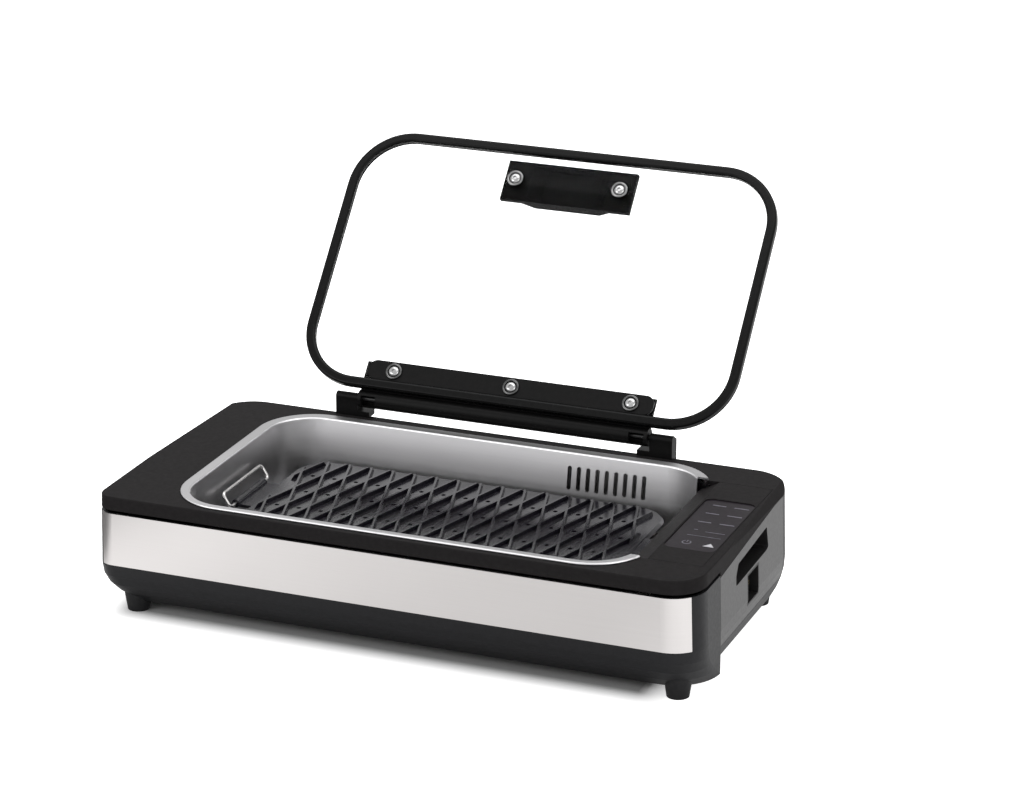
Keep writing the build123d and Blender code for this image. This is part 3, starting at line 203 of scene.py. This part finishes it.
# Plastics, rubber and coatings
cover_black = plastic(
    "cover_black", (0.0158, 0.0147, 0.015), (0.0182, 0.0169, 0.0173),
    rough=(0.44, 0.5), grain=1200.0, depth=0.000002, specular=0.015,
)
case_black = plastic(
    "case_black", (0.011, 0.011, 0.0122), (0.013, 0.013, 0.0145),
    rough=(0.4, 0.46), grain=1200.0, depth=0.000002,
)
end_black = plastic(
    "end_black", (0.0115, 0.0109, 0.011), (0.014, 0.0133, 0.0135),
    rough=(0.32, 0.38), grain=1200.0, depth=0.000002, specular=0.48,
)
hinge_black = plastic(
    "hinge_black", (0.0045, 0.0045, 0.0045), (0.006, 0.0057, 0.0057),
    rough=(0.36, 0.44), grain=900.0, depth=0.000002, specular=0.09,
)
rim_black = plastic(
    "rim_black", (0.0035, 0.0035, 0.0035), (0.005, 0.005, 0.005),
    rough=(0.22, 0.28), grain=500.0, depth=0.000004, specular=0.1,
)
handle_black = plastic(
    "handle_black", (0.0011, 0.0011, 0.0011), (0.0018, 0.0018, 0.0018),
    rough=(0.22, 0.3), grain=900.0, depth=0.000004, specular=0.02,
)
rubber_black = plastic(
    "rubber_black", (0.012, 0.012, 0.013), (0.016, 0.016, 0.017),
    rough=(0.52, 0.62), grain=900.0, depth=0.00002,
)
panel_black = plastic(
    "panel_black", (0.0115, 0.0085, 0.0115), (0.014, 0.0105, 0.014),
    rough=(0.3, 0.36), specular=0.06,
)
socket_black = plastic(
    "socket_black", (0.008, 0.008, 0.008), (0.012, 0.012, 0.012),
    rough=(0.4, 0.5), grain=900.0, depth=0.00002,
)
board_green = plastic(
    "board_green", (0.02, 0.09, 0.035), (0.03, 0.12, 0.05), rough=(0.3, 0.4)
)
ceramic_white = plastic(
    "ceramic_white", (0.66, 0.63, 0.56), (0.74, 0.71, 0.65),
    rough=(0.6, 0.75), grain=700.0, depth=0.00003,
)
plate_black = plastic(
    "plate_black", (0.0045, 0.0041, 0.0062), (0.0092, 0.0078, 0.0122),
    rough=(0.17, 0.23), grain=1400.0, depth=0.000002, specular=0.55,
)
mark_grey = plastic(
    "mark_grey", (0.1, 0.095, 0.115), (0.15, 0.14, 0.17), rough=(0.4, 0.5)
)
mark_white = plastic(
    "mark_white", (0.5, 0.49, 0.52), (0.58, 0.57, 0.6), rough=(0.4, 0.5)
)

# Metals
band_satin = brushed(
    "band_satin", (0.69, 0.664, 0.655), (0.72, 0.694, 0.685),
    stretch=(3.0, 3.0, 900.0), rough=(0.28, 0.33), depth=0.0000012,
)
basin_satin = brushed(
    "basin_satin", (0.73, 0.724, 0.735), (0.77, 0.764, 0.775),
    stretch=(4.0, 4.0, 500.0), rough=(0.32, 0.38), depth=0.000002,
)
wire_bright = brushed(
    "wire_bright", (0.5, 0.49, 0.48), (0.6, 0.59, 0.58),
    stretch=(300.0, 30.0, 300.0), rough=(0.22, 0.32), depth=0.000003,
)
screw_bright = brushed(
    "screw_bright", (0.34, 0.34, 0.34), (0.46, 0.46, 0.46),
    stretch=(600.0, 600.0, 600.0), rough=(0.16, 0.24), depth=0.000003,
)
washer_dark = brushed(
    "washer_dark", (0.07, 0.07, 0.07), (0.12, 0.12, 0.12),
    stretch=(400.0, 400.0, 400.0), rough=(0.14, 0.2), depth=0.000002,
)
washer_grey = brushed(
    "washer_grey", (0.16, 0.16, 0.16), (0.24, 0.24, 0.24),
    stretch=(400.0, 400.0, 400.0), rough=(0.14, 0.2), depth=0.000002,
)
pin_dark = brushed(
    "pin_dark", (0.03, 0.03, 0.03), (0.05, 0.05, 0.05),
    stretch=(40.0, 400.0, 400.0), rough=(0.34, 0.42), depth=0.000002,
)
sheet_steel = brushed(
    "sheet_steel", (0.5, 0.5, 0.5), (0.6, 0.6, 0.6),
    stretch=(5.0, 400.0, 5.0), rough=(0.3, 0.42), depth=0.000006,
)
element_dark = brushed(
    "element_dark", (0.16, 0.15, 0.145), (0.24, 0.225, 0.215),
    stretch=(60.0, 60.0, 60.0), rough=(0.36, 0.5), depth=0.00001,
)
brass = brushed(
    "brass", (0.62, 0.48, 0.22), (0.72, 0.57, 0.3),
    stretch=(60.0, 300.0, 300.0), rough=(0.2, 0.3), depth=0.000003,
)

# Painted shade on the basin's walls, darkest near the plate, then painted shade as a darker
# tone on its rolled edge, which is also rougher
basin_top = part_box("basin")[1].z
shade_low, shade_high, shade_share = basin_top - 0.03, basin_top - 0.006, 0.6
edge_low, edge_high, edge_shade_share = basin_top - 0.0005, basin_top - 0.0002, 0.55
edge_rougher = 0.08
# Painted shade: the walls' tone is darkened towards the plate
by_height(basin_satin, shade_low, shade_high, shade_share, 1.0)
# Painted shade: the rolled edge's tone is made darker; its added roughness is real
by_height(basin_satin, edge_low, edge_high, 1.0, edge_shade_share, edge_rougher)

glass_clear = clear_glass(
    "glass_clear", (0.985, 0.99, 0.988), (0.995, 0.997, 0.996), rough=(0.0, 0.015)
)

finishes = {
    "base_tub": case_black,
    "front_band": band_satin,
    "end_cover_left": end_black,
    "end_cover_right": end_black,
    "top_cover": cover_black,
    "control_console": cover_black,
    "case_screws": screw_bright,
    "foot_front_left": rubber_black,
    "foot_front_right": rubber_black,
    "foot_rear_left": rubber_black,
    "foot_rear_right": rubber_black,
    "basin": basin_satin,
    "basin_seal": rubber_black,
    "drip_tray": sheet_steel,
    "heating_element": element_dark,
    "element_bearers": sheet_steel,
    "element_bushings": ceramic_white,
    "thermal_sensor": sheet_steel,
    "thermal_cutout": ceramic_white,
    "heat_shield": sheet_steel,
    "control_overlay": panel_black,
    "control_board": board_green,
    "touch_springs": screw_bright,
    "power_board": board_green,
    "power_components": socket_black,
    "inlet_socket": socket_black,
    "inlet_pins": brass,
    "fan_duct": sheet_steel,
    "fan_scroll": socket_black,
    "fan_motor": sheet_steel,
    "fan_impeller": socket_black,
    "fan_shaft": screw_bright,
    "hinge_post_left": hinge_black,
    "hinge_post_right": hinge_black,
    "hinge_pins": pin_dark,
    "post_screws": screw_bright,
    "lid_glass": glass_clear,
    "lid_rim": rim_black,
    "hinge_seals": rubber_black,
    "hinge_plate": hinge_black,
    "hinge_bar": hinge_black,
    "hinge_screws": screw_bright,
    "lid_handle": handle_black,
    "handle_washers": washer_dark,
    "handle_screws": screw_bright,
    "grill_plate": plate_black,
    "bail_left": wire_bright,
    "bail_right": wire_bright,
}
for name, material in finishes.items():
    mesh = nodes[name].data
    mesh.materials.clear()
    mesh.materials.append(material)


def link(name, data):
    """New object of the scene."""
    thing = bpy.data.objects.new(name, data)
    bpy.context.scene.collection.objects.link(thing)
    return thing


def finished_mesh(name, work, material):
    """Mesh of a bmesh, with its faces turned outwards."""
    bmesh.ops.recalc_face_normals(work, faces=work.faces)
    mesh = bpy.data.meshes.new(name)
    work.to_mesh(mesh)
    work.free()
    mesh.materials.append(material)
    return mesh


# Printed marks on the touch panel. Outlines are closed lists of (x, y).
mark_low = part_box("control_overlay")[1].z
mark_high = mark_low + 0.00012
bar_end_steps = 6
word_rows = (0.041, 0.022, 0.002)
word_columns = ((0.2235, 0.2355), (0.2425, 0.2555))
word_height = 0.0016
small_words = (
    (0.2265, 0.2300, -0.016, 0.0012),
    (0.2370, 0.2540, -0.0185, 0.0008),
    (0.2250, 0.2540, -0.0290, 0.0007),
)
power_x, power_y = 0.230, -0.045
power_inner, power_outer = 0.0031, 0.0040
power_start, power_end = math.radians(120), math.radians(420)
power_steps = 24
stroke_half = 0.00045
stroke_low, stroke_high = power_y + 0.0004, power_y + 0.0044
dot_half, dot_rise = 0.0004, 0.003
arrow = [(0.245, -0.0488), (0.2545, -0.0488), (0.2500, -0.0420)]


def print_mark(name, outlines, material):
    """Thin raised print on the panel."""
    work = bmesh.new()
    for outline in outlines:
        low = [work.verts.new((x, y, mark_low)) for x, y in outline]
        high = [work.verts.new((x, y, mark_high)) for x, y in outline]
        work.faces.new(high)
        work.faces.new(list(reversed(low)))
        for i in range(len(outline)):
            j = (i + 1) % len(outline)
            work.faces.new((low[i], low[j], high[j], high[i]))
    piece = link(name, finished_mesh(name, work, material))
    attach(piece, "base")


def bar(x0, x1, y, thick):
    """Bar with rounded ends, as an outline."""
    r = thick / 2
    points = []
    for middle, start in ((x1 - r, -math.pi / 2), (x0 + r, math.pi / 2)):
        for k in range(bar_end_steps + 1):
            a = start + math.pi * k / bar_end_steps
            points.append((middle + r * math.cos(a), y + r * math.sin(a)))
    return points


def arc(cx, cy, inner, outer, start, end, steps):
    """Part of a ring, as small quads."""

    def corner(radius, angle):
        return (cx + radius * math.cos(angle), cy + radius * math.sin(angle))

    quads = []
    for k in range(steps):
        a = start + (end - start) * k / steps
        b = start + (end - start) * (k + 1) / steps
        quads.append([corner(inner, a), corner(outer, a), corner(outer, b), corner(inner, b)])
    return quads


dashes = [bar(x0, x1, y, word_height) for y in word_rows for x0, x1 in word_columns]
dashes += [bar(*word) for word in small_words]
print_mark("panel_dashes", dashes, mark_grey)

power = arc(
    power_x, power_y, power_inner, power_outer, power_start, power_end, power_steps
)
power.append(
    bar(power_x - dot_half, power_x + dot_half, power_y + dot_rise, 2 * dot_half)
)
power.append(
    [
        (power_x - stroke_half, stroke_low),
        (power_x + stroke_half, stroke_low),
        (power_x + stroke_half, stroke_high),
        (power_x - stroke_half, stroke_high),
    ]
)
print_mark("panel_power", power, mark_grey)
print_mark("panel_arrow", [arrow], mark_white)

# Domed screws and cup washers of the lid, turned round its normal at rest
lid_lean = math.radians(41.3)
lid_normal = Vector((0.0, -math.cos(lid_lean), math.sin(lid_lean)))
same_point = 0.000001
crown_depth = 0.0005
head_height = 0.0026
turn_steps = 48
hexagon = math.pi / 3
sharp_angle = math.radians(40)
shank_radius = 0.0020
head_radius = 0.0050
head_edge = 0.0004
head_rise = 0.0025
dome_angle = math.radians(62)
dome_steps = 7
socket_rim = (0.0017, 0.00255, True)
socket_floor = (0.0016, 0.0014, True)
cup_radius = 0.0066
cup_half_width = 0.0011
cup_half_height = 0.0009
cup_steps = 12


def solids_of(name):
    """Vertices of each separate solid of a node, in the same order on each run."""
    work = bmesh.new()
    work.from_mesh(nodes[name].data)
    bmesh.ops.remove_doubles(work, verts=work.verts, dist=same_point)
    left = dict.fromkeys(work.verts)
    groups = []
    while left:
        edge = [left.popitem()[0]]
        group = []
        while edge:
            vertex = edge.pop()
            group.append(vertex.co.copy())
            for side in vertex.link_edges:
                other = side.other_vert(vertex)
                if other in left:
                    del left[other]
                    edge.append(other)
        groups.append(group)
    work.free()
    return groups


def head_seats(name):
    """Place under each screw head, on the screw's axis, and the length below it."""
    seats = []
    for group in solids_of(name):
        heights = [point.dot(lid_normal) for point in group]
        top = max(heights)
        crown = [point for point in group if point.dot(lid_normal) > top - crown_depth]
        middle = sum(crown, Vector((0.0, 0.0, 0.0))) / len(crown)
        seat = middle - lid_normal * (middle.dot(lid_normal) - top + head_height)
        seats.append((seat, top - head_height - min(heights)))
    return sorted(seats, key=lambda entry: entry[0].x)


def turned(work, place, profile, closed):
    """Turns a profile of (radius, height, whether it is a hexagon) round the lid's normal."""
    turn = lid_normal.to_track_quat("Z", "X")
    rings = []
    for radius, height, hexagonal in profile:
        ring = []
        for k in range(turn_steps):
            angle = 2 * math.pi * k / turn_steps
            reach = radius
            if hexagonal:
                off_middle = angle % hexagon - hexagon / 2
                reach = radius * math.cos(hexagon / 2) / math.cos(off_middle)
            local = Vector((reach * math.cos(angle), reach * math.sin(angle), height))
            ring.append(work.verts.new(place + turn @ local))
        rings.append(ring)
    pairs = list(zip(rings, rings[1:]))
    if closed:
        pairs.append((rings[-1], rings[0]))
    for low, high in pairs:
        for k in range(turn_steps):
            following = (k + 1) % turn_steps
            work.faces.new((low[k], low[following], high[following], high[k]))
    if not closed:
        work.faces.new(rings[-1])
        work.faces.new(list(reversed(rings[0])))


def lid_piece(name, turnings, closed, material):
    """One object of the forms that are turned at each place."""
    work = bmesh.new()
    for place, profile in turnings:
        turned(work, place, profile, closed)
    mesh = finished_mesh(name, work, material)
    for polygon in mesh.polygons:
        polygon.use_smooth = True
    mesh.set_sharp_from_angle(angle=sharp_angle)
    piece = link(name, mesh)
    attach(piece, "lid")
    return piece


def dome(length):
    """Button head with a hexagon socket, on a plain shank."""
    points = [
        (shank_radius, -length, False),
        (shank_radius, 0.0, False),
        (head_radius, 0.0, False),
        (head_radius, head_edge, False),
    ]
    for k in range(1, dome_steps + 1):
        angle = dome_angle * k / dome_steps
        rise = head_edge + head_rise * math.sin(angle)
        points.append((head_radius * math.cos(angle), rise, False))
    return points + [socket_rim, socket_floor]


def cup():
    """Cup washer: a low ring with rounded edges."""
    ring = []
    for k in range(cup_steps):
        angle = 2 * math.pi * k / cup_steps
        radius = cup_radius + cup_half_width * math.cos(angle)
        height = cup_half_height + cup_half_height * math.sin(angle)
        ring.append((radius, height, False))
    return ring


for node, cup_metal in (("hinge_screws", washer_dark), ("handle_screws", washer_grey)):
    seats = head_seats(node)
    domes = [(place, dome(length)) for place, length in seats]
    cups = [(place, cup()) for place, length in seats]
    heads = lid_piece(node + "_domed", domes, False, screw_bright)
    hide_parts(node)
    lid_piece(node.replace("screws", "cups"), cups, True, cup_metal)

# Floor and backdrop. Stops are (place along the range, share of the most).
floor_half = 30.0
floor_tone_scale = 3.0
floor_gloss_scale = 30.0
footprint_centre = (-0.016, 0.0, 0.0)
footprint_half = (0.228, 0.108, 0.0)
glow_reach = 0.05
glow_stops = (
    (0.0, 0.0), (0.1, 0.0), (0.2, 0.21), (0.3, 0.38),
    (0.4, 0.51), (0.6, 0.72), (0.8, 0.95), (1.0, 1.0),
)
# Painted contact shadow: share of the floor's colour close round the footprint
contact_shadow_stops = ((0.0, 0.5), (0.1, 1.0))
card_side = 0.6
card_reach = 0.12
card_most = 1.3
card_stops = (
    (0.0, 0.15), (0.14, 0.18), (0.21, 1.0), (0.26, 0.97), (0.36, 0.82),
    (0.5, 0.69), (0.62, 0.66), (0.75, 0.88), (0.85, 0.96),
)
card_edge_stops = ((0.0, 0.08), (0.2, 0.4), (0.8, 1.0))
world_light = 0.55
world_seen = 1.0


def seen_ray(tree, kinds):
    """One for camera rays and the kinds that are named, and zero for the rest."""
    path = tree.nodes.new("ShaderNodeLightPath")
    total = path.outputs["Is Camera Ray"]
    for kind in kinds:
        total = calculate(tree, "MAXIMUM", total, path.outputs[kind])
    return total


def levels(tree, value, low, high, stops, most=1.0, kind="EASE"):
    """Levels along a range of a value."""
    place = tree.nodes.new("ShaderNodeMapRange")
    place.inputs["From Min"].default_value = low
    place.inputs["From Max"].default_value = high
    tree.links.new(value, place.inputs["Value"])
    ramp = tree.nodes.new("ShaderNodeValToRGB")
    ramp.color_ramp.interpolation = kind
    while len(ramp.color_ramp.elements) < len(stops):
        ramp.color_ramp.elements.new(0.5)
    for element, (position, share) in zip(ramp.color_ramp.elements, stops):
        element.position = position
        element.color = (share, share, share, 1.0)
    tree.links.new(place.outputs["Result"], ramp.inputs["Fac"])
    return calculate(tree, "MULTIPLY", ramp.outputs["Color"], most)


def outside_footprint(tree, space):
    """Distance from the rectangle that the object stands on, seen from above."""
    steps = (
        ("SUBTRACT", footprint_centre),
        ("ABSOLUTE", None),
        ("SUBTRACT", footprint_half),
        ("MAXIMUM", (0.0, 0.0, 0.0)),
    )
    for operation, amount in steps:
        step = tree.nodes.new("ShaderNodeVectorMath")
        step.operation = operation
        if amount:
            step.inputs[1].default_value = amount
        tree.links.new(space, step.inputs[0])
        space = step.outputs["Vector"]
    distance = tree.nodes.new("ShaderNodeVectorMath")
    distance.operation = "LENGTH"
    tree.links.new(space, distance.inputs[0])
    return distance.outputs["Value"]


floor_mesh = bpy.data.meshes.new("floor")
floor_mesh.from_pydata(
    [
        (-floor_half, -floor_half, 0.0),
        (floor_half, -floor_half, 0.0),
        (floor_half, floor_half, 0.0),
        (-floor_half, floor_half, 0.0),
    ],
    [],
    [(0, 1, 2, 3)],
)
floor = link("floor", floor_mesh)
floor_white, tree, shader = node_material("floor_white")
space = object_space(tree)
outside = outside_footprint(tree, space)
tones = two_tones(
    tree, noise(tree, space, floor_tone_scale), (0.93, 0.93, 0.93), (0.95, 0.95, 0.95)
)
# Painted shadow: the floor's colour is darker close round the footprint
painted_contact_shadow = levels(tree, outside, 0.0, glow_reach, contact_shadow_stops, kind="LINEAR")
gloss = spread(tree, noise(tree, space, floor_gloss_scale), 0.85, 0.95)
tree.links.new(scaled(tree, tones, painted_contact_shadow), shader.inputs["Base Color"])
tree.links.new(gloss, shader.inputs["Roughness"])
shader.inputs["Specular IOR Level"].default_value = 0.0

# What the camera sees: the lit floor and a glow that starts beyond the contact shadow
glow = tree.nodes.new("ShaderNodeEmission")
glow_share = levels(tree, outside, 0.0, glow_reach, glow_stops, kind="LINEAR")
glow_level = calculate(tree, "MULTIPLY", seen_ray(tree, ("Is Transmission Ray",)), glow_share)
tree.links.new(glow_level, glow.inputs["Strength"])
lit_floor = tree.nodes.new("ShaderNodeAddShader")
tree.links.new(shader.outputs[0], lit_floor.inputs[0])
tree.links.new(glow.outputs[0], lit_floor.inputs[1])

# What glossy surfaces see: soft light in front, dimmer in its middle, and dark cards at its
# left end and close round the object
cards = tree.nodes.new("ShaderNodeEmission")
sides = tree.nodes.new("ShaderNodeSeparateXYZ")
tree.links.new(space, sides.inputs[0])
card_level = calculate(
    tree,
    "MULTIPLY",
    levels(tree, sides.outputs["X"], -card_side, card_side, card_stops, card_most),
    levels(tree, outside, 0.0, card_reach, card_edge_stops),
)
tree.links.new(card_level, cards.inputs["Strength"])
path = tree.nodes.new("ShaderNodeLightPath")
reflected = calculate(
    tree, "GREATER_THAN", path.outputs["Is Glossy Ray"], path.outputs["Is Transmission Ray"]
)
by_ray = tree.nodes.new("ShaderNodeMixShader")
tree.links.new(reflected, by_ray.inputs["Fac"])
tree.links.new(lit_floor.outputs[0], by_ray.inputs[1])
tree.links.new(cards.outputs[0], by_ray.inputs[2])
tree.links.new(by_ray.outputs[0], tree.nodes["Material Output"].inputs["Surface"])
floor_mesh.materials.append(floor_white)

# World: plain light on the object, and white where it is seen or mirrored
world = bpy.data.worlds.new("studio")
bpy.context.scene.world = world
world.use_nodes = True
tree = world.node_tree
background = tree.nodes["Background"]
background.inputs["Color"].default_value = (1.0, 1.0, 1.0, 1.0)
seen = seen_ray(tree, ("Is Glossy Ray", "Is Transmission Ray"))
level = spread(tree, seen, world_light, world_seen, 0.0, 1.0)
tree.links.new(level, background.inputs["Strength"])

# Lamps, all turned to a point in the object
lamp_target = Vector((0.0, 0.0, 0.1))


def lamp(name, place, width, depth, power):
    light = bpy.data.lights.new(name, "AREA")
    light.shape = "RECTANGLE"
    light.size = width
    light.size_y = depth
    light.energy = power
    source = link(name, light)
    source.location = place
    source.rotation_mode = "QUATERNION"
    source.rotation_quaternion = (lamp_target - Vector(place)).to_track_quat("-Z", "Y")


lamp("over", (0.0, 0.15, 2.0), 2.2, 1.4, 22.0)
lamp("front_left", (-1.6, -1.8, 1.2), 1.2, 1.2, 16.0)
lamp("right", (1.9, -0.75, 0.75), 1.5, 1.1, 9.0)

# Camera at the photograph's angle
focal_pixels = 3589.7
picture_width = 1024
sensor_width = 36.0
view_centre = Vector((0.05853, 0.0, 0.19859))
view_distance = 3.0016
azimuth = math.radians(21.76)
elevation = math.radians(19.75)
back = Vector(
    (
        math.sin(azimuth) * math.cos(elevation),
        -math.cos(azimuth) * math.cos(elevation),
        math.sin(elevation),
    )
)
camera_data = bpy.data.cameras.new("camera")
camera_data.sensor_width = sensor_width
camera_data.lens = focal_pixels / picture_width * sensor_width
camera_data.clip_start = 0.05
camera_data.clip_end = 60.0
camera = link("camera", camera_data)
camera.location = view_centre + back * view_distance
camera.rotation_mode = "QUATERNION"
camera.rotation_quaternion = (-back).to_track_quat("-Z", "Y")
bpy.context.scene.camera = camera
bpy.context.scene.view_settings.view_transform = "Standard"
